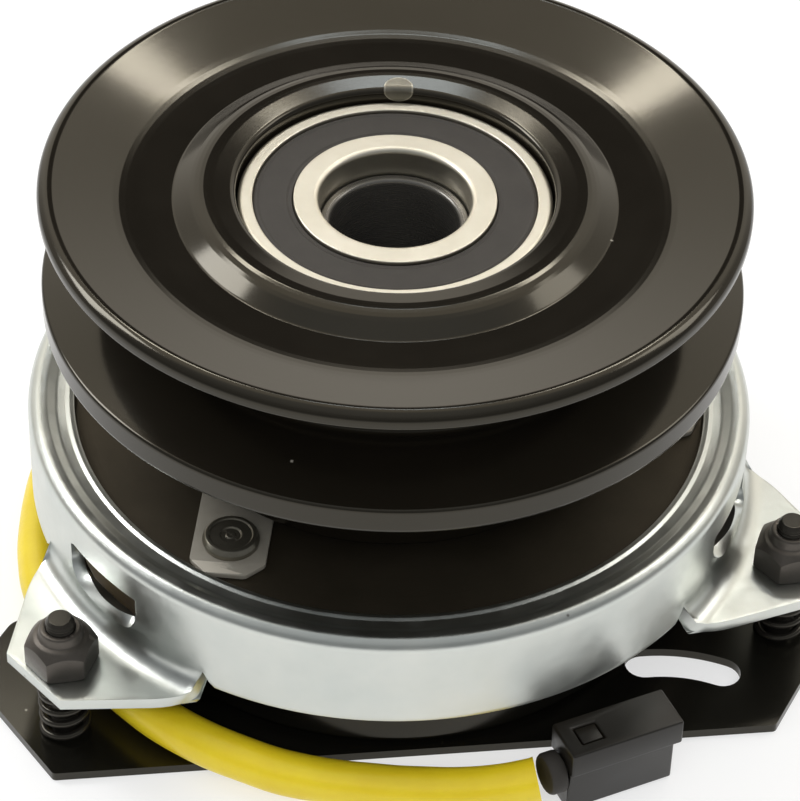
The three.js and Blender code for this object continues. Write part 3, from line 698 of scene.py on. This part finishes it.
def make_connector():
    made = [
        softened_copy("connector_housing", "plug_housing", 0.55, 3, NYLON),
        softened_copy("connector_lock", "plug_lock", 0.25, 2, NYLON),
        softened_copy("connector_wire_seal", "plug_wire_seal", 0.2, 2, SEAL_RUBBER, 50),
    ]
    made += [softened_copy(f"connector_terminal_{i}", f"plug_terminal_{i}", 0.1, 2, TIN) for i in (1, 2)]
    return made


# ---- pulley and its bearing
def make_pulley():
    z = BEARING_TOP
    upper = turned("upper_flange", [
        (28.2, z - 19.2, 0.3), (36, z - 19.2), (36, z - 8.35), (GROOVE_FLOOR, z - 8.35),
        (GROOVE_FLOOR, z - 4, 1.5), (69, z + 1.3, 0.8), (RIM, z + 2.1, 0.7), (RIM, z + 4.0, 1.9),
        (67.9, z + 5.4, 2.2), (52.1, z + 0.5, 22), (43.6, z + 0.42, 1.0), (38.0, z + 3.5, 7),
        (POCKET, z + 2.3, 1.2), (POCKET, z - 16.3, 0.2), (28.2, z - 16.3, 0.3),
    ], 288)
    finish_piece(upper, "pulley", PULLEY_COAT, "pulley_upper_half", shade=40)
    lower = turned("lower_flange", [
        (33, DRUM_LOW, 0.4), (DRUM, DRUM_LOW, 0.8), (DRUM, z - 25.5, 1.2), (48.9, z - 23.3, 1.2),
        (67.3, z - 24.6, 1), (RIM, z - 24.3, 1.6), (RIM, z - 18.5, 1.4), (68.6, z - 18.1, 0.8),
        (GROOVE_FLOOR, z - 13.2, 1.5), (GROOVE_FLOOR, z - 8.65), (41, z - 8.65), (41, DRUM_LOW + 5, 0.5),
        (24, DRUM_LOW + 5, 0.5), (24, DRUM_LOW, 0.5),
    ], 288)
    finish_piece(lower, "pulley", PULLEY_COAT, "pulley_lower_half", shade=40)
    make_stake_mark()


def make_stake_mark():
    """The punch mark that locks the bearing: a bare patch folded over the corner of the bead's inner lip."""
    across, along, skin, corner, rings, seams = 2.95, 2.7, 0.1, 1.0, 7, 48
    vertices = [(0, 0)]
    for ring in range(1, rings + 1):
        size = ring / rings
        vertices += [(across * size * math.cos(2 * math.pi * k / seams),
                      along * size * math.sin(2 * math.pi * k / seams)) for k in range(seams)]
    faces = [(0, 1 + k, 1 + (k + 1) % seams) for k in range(seams)]
    for ring in range(rings - 1):
        a, b = 1 + ring * seams, 1 + (ring + 1) * seams
        faces += [(a + k, b + k, b + (k + 1) % seams, a + (k + 1) % seams) for k in range(seams)]
    folded = []
    for x, way in vertices:
        turn = max(0, min(1, way + 0.5)) * math.pi / 2
        radius = POCKET + corner * (1 - math.cos(turn)) + max(0, way - 0.5) - skin * math.cos(turn)
        rise = corner * math.sin(turn) + min(0, way + 0.5) + skin * math.sin(turn) + 0.09 * max(0, way)
        height = BEARING_TOP + 1.95 + rise
        folded.append((x, math.sqrt(radius ** 2 - x ** 2), height))
    mark = new_object("stake_mark", folded, faces)
    modify(mark, "SOLIDIFY", thickness=0.6 * MM, offset=-1)
    finish_piece(mark, "pulley", RIVET_STEEL)


def make_bearing(prefix, body, bore, outer, width, pitch, ball, seal_in, low):
    """The two rings of a sealed bearing, with ground chamfers, and its two lipped seals."""
    high = low + width
    middle = low + width / 2
    race = ball + 0.35
    drop = 0.66 * race
    seal_out = outer - 3
    seat = 1.9
    ring = turned(f"{prefix}_outer", [
        (seal_out, low, 0.25), (outer, low, 1), (outer, high, 1), (seal_out, high, 0.25),
        (seal_out, high - seat), (pitch + drop, high - seat), (pitch + drop, middle + 0.72 * ball),
        (pitch + race, middle, 2), (pitch + drop, middle - 0.72 * ball), (pitch + drop, low + seat),
        (seal_out, low + seat),
    ], 216)
    finish_piece(ring, body, BEARING_STEEL, f"{prefix}_outer_ring")
    ring = turned(f"{prefix}_inner", [
        (bore, low, 1), (seal_in, low, 0.25), (seal_in, low + seat), (pitch - drop, low + seat),
        (pitch - drop, middle - 0.72 * ball), (pitch - race, middle, 2), (pitch - drop, middle + 0.72 * ball),
        (pitch - drop, high - seat), (seal_in, high - seat), (seal_in, high, 0.25), (bore, high, 1),
    ], 216)
    finish_piece(ring, "rotor", BEARING_STEEL, f"{prefix}_inner_ring")
    for side, face, way in (("upper", high, -1), ("lower", low, 1)):
        profile = [
            (seal_in + 0.2, face + way * 1.5), (seal_out - 0.1, face + way * 1.5),
            (seal_out - 0.1, face + way * 0.75, 0.2),
            (seal_out - 0.8, face + way * 0.4, 0.2), (seal_out - 1.3, face + way * 0.62, 0.2),
            (seal_in + 1.4, face + way * 0.55, 0.2), (seal_in + 1.0, face + way * 0.75, 0.15),
            (seal_in + 0.2, face + way * 0.6, 0.2),
        ]
        seal = turned(f"{prefix}_{side}_lip", profile, 216)
        finish_piece(seal, body, SEAL_RUBBER, f"{prefix}_{side}_seal")


# ---- hub, rotor and field
def make_hub():
    journal, shoulder, seat = 17.2, 19, 14.7
    ledge = node_box("field_bearing_inner_ring")[1].z + GAP
    under = BEARING_TOP - 16 - GAP
    top = node_box("rotor_hub")[1].z
    hub = turned("hub", [
        (12.7, 1, 0.8), (journal, 1, 0.8), (journal, 3.2), (16.4, 3.2), (16.4, 4.7), (journal, 4.7),
        (journal, ledge), (shoulder, ledge, 0.4), (shoulder, 33.6), (23, 33.6), (23, 36.5, 0.5),
        (shoulder, 36.5), (shoulder, under), (seat, under), (seat, top, 0.4), (12.7, top, 1.1),
    ], 180)
    half, deep = 3.175, 15.3
    carve(hub, slab("tool", [(-half, 0), (half, 0), (half, deep), (-half, deep)], -1, BEARING_TOP - 24))
    finish_piece(hub, "rotor", BORE_STEEL, "rotor_hub")


def make_rotor():
    face, outer, wall = 33.4, 66, 3.7
    under = face - 6
    rotor = turned("rotor_disc", [
        (19.2, 21.5, 0.5), (29.6, 21.5, 0.8), (29.6, under, 1), (outer - wall, under, 1.5),
        (outer - wall, 14, 0.4), (outer, 14, 0.8), (outer, face, 0.5), (54, face), (54, face - 2.4),
        (46, face - 2.4), (46, face), (19.2, face, 0.4),
    ], 240)
    finish_piece(rotor, "rotor", ROTOR_STEEL, "rotor")
    ring = turned("friction_lining_ring", [(46.3, face - 2.05), (53.7, face - 2.05), (53.7, face - 0.05, 0.2),
                                           (46.3, face - 0.05, 0.2)], 180)
    finish_piece(ring, "rotor", LINING, "friction_ring")


def split_ring(name, inner, outer, low, high, gap_azimuth, gap, body, node):
    """A snap ring of square wire, open over a gap in degrees."""
    steps = 72
    angles = [gap_azimuth + gap / 2 + (360 - gap) * k / steps for k in range(steps + 1)]
    outline = [polar(outer, a)[:2] for a in angles] + [polar(inner, a)[:2] for a in reversed(angles)]
    ring = slab(name, outline, low, high)
    soften(ring, 0.12, 2, 50)
    finish_piece(ring, body, LEAF_STEEL, node)


def make_field():
    low, outer, wall, inner, core, top = PLATE_TOP + GAP, 61.5, 3.5, 31.4, 35.5, 25.8
    seat, groove = 5.1, 19.1
    shell = turned("coil_housing", [
        (28.5, low, 0.4), (outer, low, 1.8), (outer, top, 0.6), (outer - wall, top, 0.6),
        (outer - wall, low + 4, 1.2), (core, low + 4, 1.2), (core, top, 0.4), (inner, top, 0.4),
        (inner, groove + 1.6), (32.5, groove + 1.6), (32.5, groove), (inner, groove), (inner, seat - 0.2),
        (28.5, seat - 0.2, 0.3),
    ], 216)
    finish_piece(shell, "field", PLATE_COAT, "field_shell")
    pieces = [
        ("bobbin", [(35.8, 6.6), (57.7, 6.6, 0.3), (57.7, 7.8, 0.3), (37, 7.8), (37, 20.8), (57.7, 20.8, 0.3),
                    (57.7, 22, 0.3), (35.8, 22)], NYLON, "coil_bobbin"),
        ("winding", [(37.4, 8.2), (56.4, 8.2, 0.6), (56.4, 20.4, 0.6), (37.4, 20.4)], COPPER,
         "coil_winding"),
        ("potting", [(35.9, 22.3), (57.6, 22.3), (57.6, 25.2, 0.4), (35.9, 25.2, 0.4)], NYLON,
         "coil_potting"),
    ]
    for name, profile, material, node in pieces:
        made = turned(name, profile, 144)
        finish_piece(made, "field", material, node)
    split_ring("hub_snap_ring", 16.6, 20.4, 3.4, 4.5, -90, 16, "rotor", "hub_retaining_ring")
    split_ring("housing_snap_ring", 28.6, 32.2, groove + 0.2, groove + 1.4, 90, 15, "field",
               "field_retaining_ring")


# ---- armature and leaf springs
def rivet_point(index, end):
    azimuth = LEAF["azimuth"] + 120 * index
    outer = polar(LEAF["rivet"], azimuth)
    return outer if end == "outer" else outer - polar(LEAF["pitch"], azimuth + LEAF["turn"])


def make_armature():
    plate = turned("armature_disc", [
        (39.5, ARMATURE_LOW, 0.5), (69.5, ARMATURE_LOW, 0.6), (69.5, ARMATURE_TOP, 0.6),
        (39.5, ARMATURE_TOP, 0.5),
    ], 240)
    finish_piece(plate, "armature", ARMATURE_STEEL, "armature")
    half, nose, chamfer, pitch = LEAF["wide"] / 2, LEAF["nose"], LEAF["chamfer"], LEAF["pitch"]
    outline = rounded([
        (-nose, half - chamfer, 1), (-nose, -half + chamfer, 1), (-nose + chamfer, -half, 1),
        (pitch + nose - chamfer, -half, 1.6), (pitch + nose, -half + chamfer, 1.6),
        (pitch + nose, half - chamfer, 1.6), (pitch + nose - chamfer, half, 1.6),
        (-nose + chamfer, half, 1),
    ])

    def add_bends(b):
        spans = 14
        for k in range(1, spans):
            plane = Vector(((-nose + (pitch + 2 * nose) * k / spans) * MM, 0, 0))
            bmesh.ops.bisect_plane(b, geom=b.verts[:] + b.edges[:] + b.faces[:], plane_co=plane,
                                   plane_no=(1, 0, 0))

    for i in range(3):
        inner, outer = rivet_point(i, "inner"), rivet_point(i, "outer")
        turn = math.radians(LEAF["azimuth"] + 120 * i + LEAF["turn"])
        strap = slab(f"leaf_{i + 1}", outline, LEAF_LOW, LEAF_TOP)
        soften(strap, 0.14, 2, 50)
        edit_mesh(strap, add_bends)
        strap.data.transform(Matrix.Translation(inner * MM) @ Matrix.Rotation(turn, 4, "Z"))
        finish_piece(strap, None, LEAF_STEEL, f"leaf_spring_{i + 1}")
        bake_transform(strap)
        head = LEAF_TOP + 0.05
        rivet = turned(f"outer_rivet_{i + 1}", [
            (0, ARMATURE_LOW + 0.4), (2.7, ARMATURE_LOW + 0.4), (2.7, head), (5.5, head, 0.2),
            (5.7, head + 1.1, 0.5), (5.1, head + 2.25, 0.45), (4.4, head + 2.3, 0.2),
            (4.15, head + 2.0, 0.2), (2.2, head + 2.1, 0.15), (1.9, head + 1.75, 0.15),
            (1.1, head + 1.75, 0.15), (0.8, head + 2.0, 0.15), (0, head + 2.0),
        ], 64, closed=False)
        rivet.data.transform(Matrix.Translation(outer * MM))
        finish_piece(rivet, "armature", RIVET_STEEL, f"armature_rivet_{i + 1}")
        web = DRUM_LOW + 5
        rivet = turned(f"inner_rivet_{i + 1}", [
            (0, LEAF_LOW - 1.85), (3.3, LEAF_LOW - 1.85, 0.6), (3.8, LEAF_LOW - 0.15, 0.2),
            (2.7, LEAF_LOW - 0.15), (2.7, LEAF_TOP + 0.1), (4.4, LEAF_TOP + 0.1), (4.4, DRUM_LOW - 0.1),
            (2.7, DRUM_LOW - 0.1), (2.7, web + 0.1), (4.4, web + 0.1, 0.2), (4, web + 1.8, 0.8),
            (0, web + 1.8),
        ], 48, closed=False)
        rivet.data.transform(Matrix.Translation(inner * MM))
        finish_piece(rivet, "pulley", RIVET_STEEL, f"pulley_rivet_{i + 1}")


# ---- brake cup
CUP_RIM = rounded([
    (64.5, 40.6), (64.5, 42.3, 0.5), (65.6, 42.55, 0.5), (66.4, 42.2, 0.6), (68.3, 42.2, 1.6),
    (70.2, 43.35, 1.5), (72.0, 43.55, 1.6), (CUP_WALL, 42.2, 2.2), (CUP_WALL, 37.5),
], closed=False, steps=4)[1:]
FOLD = 4.6
FOLD_TOP = EAR_TOP + FOLD
WALL_END = 22.5
EAR_EDGE = 19
EAR_TIP, EAR_TIP_HALF, EAR_BROAD, EAR_BROAD_HALF = 93.2, 8.5, 81, 18.5
WINDOW_TOP, WINDOW_LOW = 35.4, 26.3
WINDOW_SPAN = 12
WINDOW_MIDDLE = (-1.0, 31.6)
DEGREE = 1.29


def ear_corners():
    """Degrees from an ear's middle to its tip corner and to its broad corner."""
    corners = ((EAR_TIP_HALF, EAR_TIP), (EAR_BROAD_HALF, EAR_BROAD))
    return tuple(math.degrees(math.atan2(half, out)) for half, out in corners)


def ear_angle(step):
    """Column angle, in degrees from an ear's middle, so that whole steps fall on the ear's corners."""
    tip, broad = ear_corners()
    size = abs(step)
    knots = [(0, 0), (5, tip), (13, broad), (EAR_EDGE, EAR_EDGE), (60, 60)]
    for (a, low), (b, high) in zip(knots, knots[1:]):
        if size <= b:
            return math.copysign(low + (high - low) * (size - a) / (b - a), step)
    return step


def ear_reach(angle):
    """How far out an ear's edge is, at an angle from its middle."""
    tip, broad = ear_corners()
    size = abs(angle)
    if size <= tip:
        return EAR_TIP / math.cos(math.radians(size))
    if size <= broad:
        a, b = Vector((EAR_TIP, EAR_TIP_HALF)), Vector((EAR_BROAD, EAR_BROAD_HALF))
        way = Vector((math.cos(math.radians(size)), math.sin(math.radians(size))))
        edge = b - a
        return (a.x * edge.y - a.y * edge.x) / (way.x * edge.y - way.y * edge.x)
    start = math.hypot(EAR_BROAD, EAR_BROAD_HALF)
    share = (size - broad) / (EAR_EDGE - broad)
    return CUP_WALL + (start - CUP_WALL) * (1 - share) ** 0.72


def fold_point(travel):
    """(r, z) on the sheet's upper side, a given way out from the wall round the fold and along the ear."""
    arc = FOLD * math.pi / 2
    if travel < arc:
        a = travel / FOLD
        return CUP_WALL + FOLD * (1 - math.cos(a)), FOLD_TOP - FOLD * math.sin(a)
    return CUP_WALL + FOLD + travel - arc, EAR_TOP


def fold_travel(reach):
    """The way along the sheet from the wall's end to radius reach."""
    out = reach - CUP_WALL
    if out < FOLD:
        return FOLD * math.acos(1 - out / FOLD)
    return FOLD * math.pi / 2 + out - FOLD


def window_edge(direction):
    """The window's edge from its middle, in (degrees, mm), along a direction in the wall's surface."""
    middle = Vector(WINDOW_MIDDLE)
    low_z = WINDOW_LOW - middle.y
    high_z = WINDOW_TOP - middle.y
    dx, dz = direction
    best = 0.0
    for k in range(1, 400):
        t = k * 0.05
        x, z = dx * t / DEGREE, dz * t
        side = 9.3 if x < 0 else 7.2
        power = 2.0 if x < 0 else 3.4
        if z > high_z or abs(x) > side:
            break
        floor = low_z * (1 - (abs(x) / side) ** power) ** (1 / power) if z < 0 else -1e9
        if z < 0 and z < floor:
            break
        best = t
    return middle.x + dx * best / DEGREE, middle.y + dz * best


def make_cup():
    """The drawn cup as one sheet: rim, wall with its windows, and the ears folded out at the bottom."""
    vertices, faces, known = [], [], {}

    def vertex(azimuth, r, z):
        key = (round(azimuth % 360, 4), round(r, 4), round(z, 4))
        if key not in known:
            known[key] = len(vertices)
            vertices.append(tuple(polar(r, azimuth, z)))
        return known[key]

    def quad(*corners):
        ring = [v for i, v in enumerate(corners) if v != corners[i - 1]]
        if len(set(ring)) >= 3:
            faces.append(tuple(ring))

    columns = [(ear, step) for ear in EAR_AZIMUTHS for step in range(-60, 60)]
    angle = {(ear, step): ear + ear_angle(step) for ear in EAR_AZIMUTHS for step in range(-60, 61)}
    wall_rows = [37.5, 36.5, 35.4, 34.2, 33, 31.6, 30.2, 28.8, 27.4, FOLD_TOP]
    for ear, step in columns:
        here, there = angle[ear, step], angle[ear, step + 1]
        for a, b in zip(CUP_RIM, CUP_RIM[1:]):
            quad(vertex(here, *a), vertex(there, *a), vertex(there, *b), vertex(here, *b))
        if not -WINDOW_SPAN <= step < WINDOW_SPAN:
            for top, low in zip(wall_rows, wall_rows[1:]):
                quad(vertex(here, CUP_WALL, top), vertex(there, CUP_WALL, top),
                     vertex(there, CUP_WALL, low), vertex(here, CUP_WALL, low))
        in_ear = -EAR_EDGE <= step < EAR_EDGE

        def end_point(column, share):
            if in_ear:
                reach = ear_reach(ear_angle(column))
                return fold_point(fold_travel(reach) * share)
            size = abs(column) - EAR_EDGE
            drop = (FOLD_TOP - WALL_END) * min(1, size / 2) ** 0.6
            return CUP_WALL, FOLD_TOP - drop * share

        rows = 22 if in_ear else 4
        for k in range(rows):
            a, b = k / rows, (k + 1) / rows
            quad(vertex(here, *end_point(step, a)), vertex(there, *end_point(step + 1, a)),
                 vertex(there, *end_point(step + 1, b)), vertex(here, *end_point(step, b)))
    for ear in EAR_AZIMUTHS:
        steps = range(-WINDOW_SPAN, WINDOW_SPAN + 1)
        between = wall_rows[1:-1]
        rim = [(s, wall_rows[0]) for s in steps] + [(WINDOW_SPAN, z) for z in between]
        rim += [(s, FOLD_TOP) for s in reversed(steps)] + [(-WINDOW_SPAN, z) for z in reversed(between)]
        rings = []
        for share in (0, 0.3, 0.6, 0.82, 0.94, 1):
            ring = []
            for s, z in rim:
                x = ear_angle(s)
                way = Vector(((x - WINDOW_MIDDLE[0]) * DEGREE, z - WINDOW_MIDDLE[1])).normalized()
                edge_x, edge_z = window_edge(way)
                px, pz = x + (edge_x - x) * share, z + (edge_z - z) * share
                lip = 0.75 * max(0, share - 0.6) / 0.4 * max(0.0, min(1.0, (31 - edge_z) / 3))
                ring.append(vertex(ear + px, CUP_WALL + lip, pz))
            rings.append(ring)
        count = len(rim)
        for a, b in zip(rings, rings[1:]):
            for i in range(count):
                quad(a[i], a[(i + 1) % count], b[(i + 1) % count], b[i])
    cup = new_object("cup", vertices, faces)

    def face_outwards(b):
        b.normal_update()
        if max(b.faces, key=lambda f: f.calc_center_median().z).normal.z < 0:
            bmesh.ops.reverse_faces(b, faces=b.faces)

    edit_mesh(cup, face_outwards)
    modify(cup, "SOLIDIFY", thickness=CUP_SHEET * MM, offset=-1, use_even_offset=True, use_rim=True)
    carve(cup, *[cylinder(3.4, EAR_TOP - 4, EAR_TOP + 2, polar(STUD_RADIUS, a)[:2], 36)
                 for a in EAR_AZIMUTHS])
    soften(cup, 0.35, 2, 50)
    finish_piece(cup, "brake_cup", ZINC, "brake_cup", shade=45)


# ---- studs, springs and nuts
def make_fixings():
    for i, azimuth in enumerate(EAR_AZIMUTHS):
        at = Matrix.Translation(polar(STUD_RADIUS, azimuth) * MM)
        threads = []
        z = EAR_TOP + 8
        while z < STUD_TOP - 1.4:
            threads += [(2.9, z, 0.1), (2.9, z + 0.3, 0.1), (2.62, z + 0.65, 0.08)]
            z += 1
        stud = turned(f"threaded_stud_{i + 1}", [
            (0, 0.1), (4.1, 0.1, 0.3), (4.1, 0.9), (2.9, 0.9), *threads, (2.9, STUD_TOP - 0.9, 0.25),
            (2.25, STUD_TOP, 0.3), (0, STUD_TOP),
        ], 56, closed=False)
        stud.data.transform(at)
        finish_piece(stud, "field", BLACK_OXIDE, f"stud_{i + 1}")

        across, corner = 12.7, 12.7 / math.sqrt(3)
        tall = 7.2
        hexagon = [polar(corner, 60 * k + 12)[:2] for k in range(6)]
        nut = slab(f"hex_nut_{i + 1}", hexagon, NUT_LOW, NUT_TOP + 1)
        dome = turned("tool", [
            (0, NUT_LOW), (corner - 0.5, NUT_LOW, 0.4), (corner + 0.2, NUT_LOW + 0.5, 0.4),
            (corner + 0.2, NUT_LOW + tall - 2.4, 1.2), (corner - 1.9, NUT_LOW + tall - 0.3, 1.2),
            (4.5, NUT_LOW + tall, 0.5), (4.1, NUT_TOP, 0.6), (0, NUT_TOP),
        ], 96, closed=False)
        carve(nut, dome, operation="INTERSECT")
        carve(nut, cylinder(3.1, NUT_LOW - 1, NUT_TOP + 2, seams=56))
        soften(nut, 0.22, 2, 40)
        nut.data.transform(at)
        finish_piece(nut, f"lock_nut_{i + 1}", PHOSPHATE, f"lock_nut_{i + 1}")

        wire, mean, turns = 0.78, 4.55, 5.4
        low, high = PLATE_TOP + wire + 0.05, EAR_TOP - CUP_SHEET - wire - 0.05
        path = []
        count = 260
        for k in range(count + 1):
            t = k / count
            eased = min(1, max(0, (t - 0.1) / 0.8))
            rise = eased + 0.12 * math.sin(2 * math.pi * eased) / (2 * math.pi)
            path.append(polar(mean, 360 * turns * t + 20, low + (high - low) * rise))
        spring = swept(f"coil_spring_{i + 1}", path, lambda share, angle: wire, sides=14)
        spring.data.transform(at)
        finish_piece(spring, None, BLACK_OXIDE, f"brake_spring_{i + 1}", shade=60)
        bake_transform(spring)


# ---- mounting plate and gland
def arc_points(centre, radius, start, stop, count):
    return [Vector(centre) + Vector((radius * math.cos(a), radius * math.sin(a)))
            for a in (math.radians(start + (stop - start) * k / count) for k in range(count + 1))]


def make_plate():
    outline = rounded([
        (-45, 50, 4), (-40.6, 74.4, 5), (-28.6, 90.6, 5), (-10.4, 93.2, 5), (4.5, 84, 5),
        *[tuple(p) for p in arc_points((0, 0), 67.3, 72, 8, 24)], (91.8, -14.2, 3), (92.2, -27.5, 3),
        (80, -52.9, 1.2), (-64.3, -71.8, 1.2), (-83.7, -45.6, 1.5), (-76.7, -30.6, 4),
        *[tuple(p) for p in arc_points((0, 0), 67.3, 200, 132, 24)],
    ])
    plate = slab("base_plate", outline, 0, PLATE_TOP)
    slot_centre, mid, half = (58.5, -66.5), 30, 3.9
    start, stop = 99, 68
    ends = [tuple(arc_points(slot_centre, mid, a, a, 1)[0]) for a in (start, stop)]
    kidney = arc_points(slot_centre, mid + half, start, stop, 12)
    kidney += arc_points(ends[1], half, stop, stop - 180, 12)
    kidney += arc_points(slot_centre, mid - half, stop, start, 12)
    kidney += arc_points(ends[0], half, start + 180, start, 12)
    tools = [slab("tool", kidney, -1, PLATE_TOP + 1), cylinder(27, -1, PLATE_TOP + 1, seams=120)]
    for azimuth in EAR_AZIMUTHS:
        at = polar(STUD_RADIUS, azimuth)[:2]
        tools += [cylinder(3.1, -1, PLATE_TOP + 1, at), cylinder(4.4, -1, 1.2, at)]
    carve(plate, *tools)
    soften(plate, 0.22, 2, 50)
    finish_piece(plate, "field", PLATE_COAT, "mounting_plate", shade=40)


def make_gland():
    softened_copy("lead_gland", "lead_boot", 0.4, 2, NYLON, 50)


def leave_as_packed():
    """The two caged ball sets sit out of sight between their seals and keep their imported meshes."""
    for node in ("pulley_bearing_balls", "field_bearing_balls"):
        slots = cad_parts[node].data.materials
        slots.clear()
        slots.append(BEARING_STEEL)


make_camera()
CONNECTOR_PIECES = make_connector()
make_lead()
make_studio()
make_pulley()
make_bearing("pulley_bearing", "pulley", 15, 31, 16, 23, 4.76, 20, BEARING_TOP - 16)
make_bearing("field_bearing", "field", 17.5, 31, 14, 24.25, 3.97, 21.5, 5.1)
make_hub()
make_rotor()
make_field()
make_armature()
make_cup()
make_fixings()
make_plate()
make_gland()
leave_as_packed()
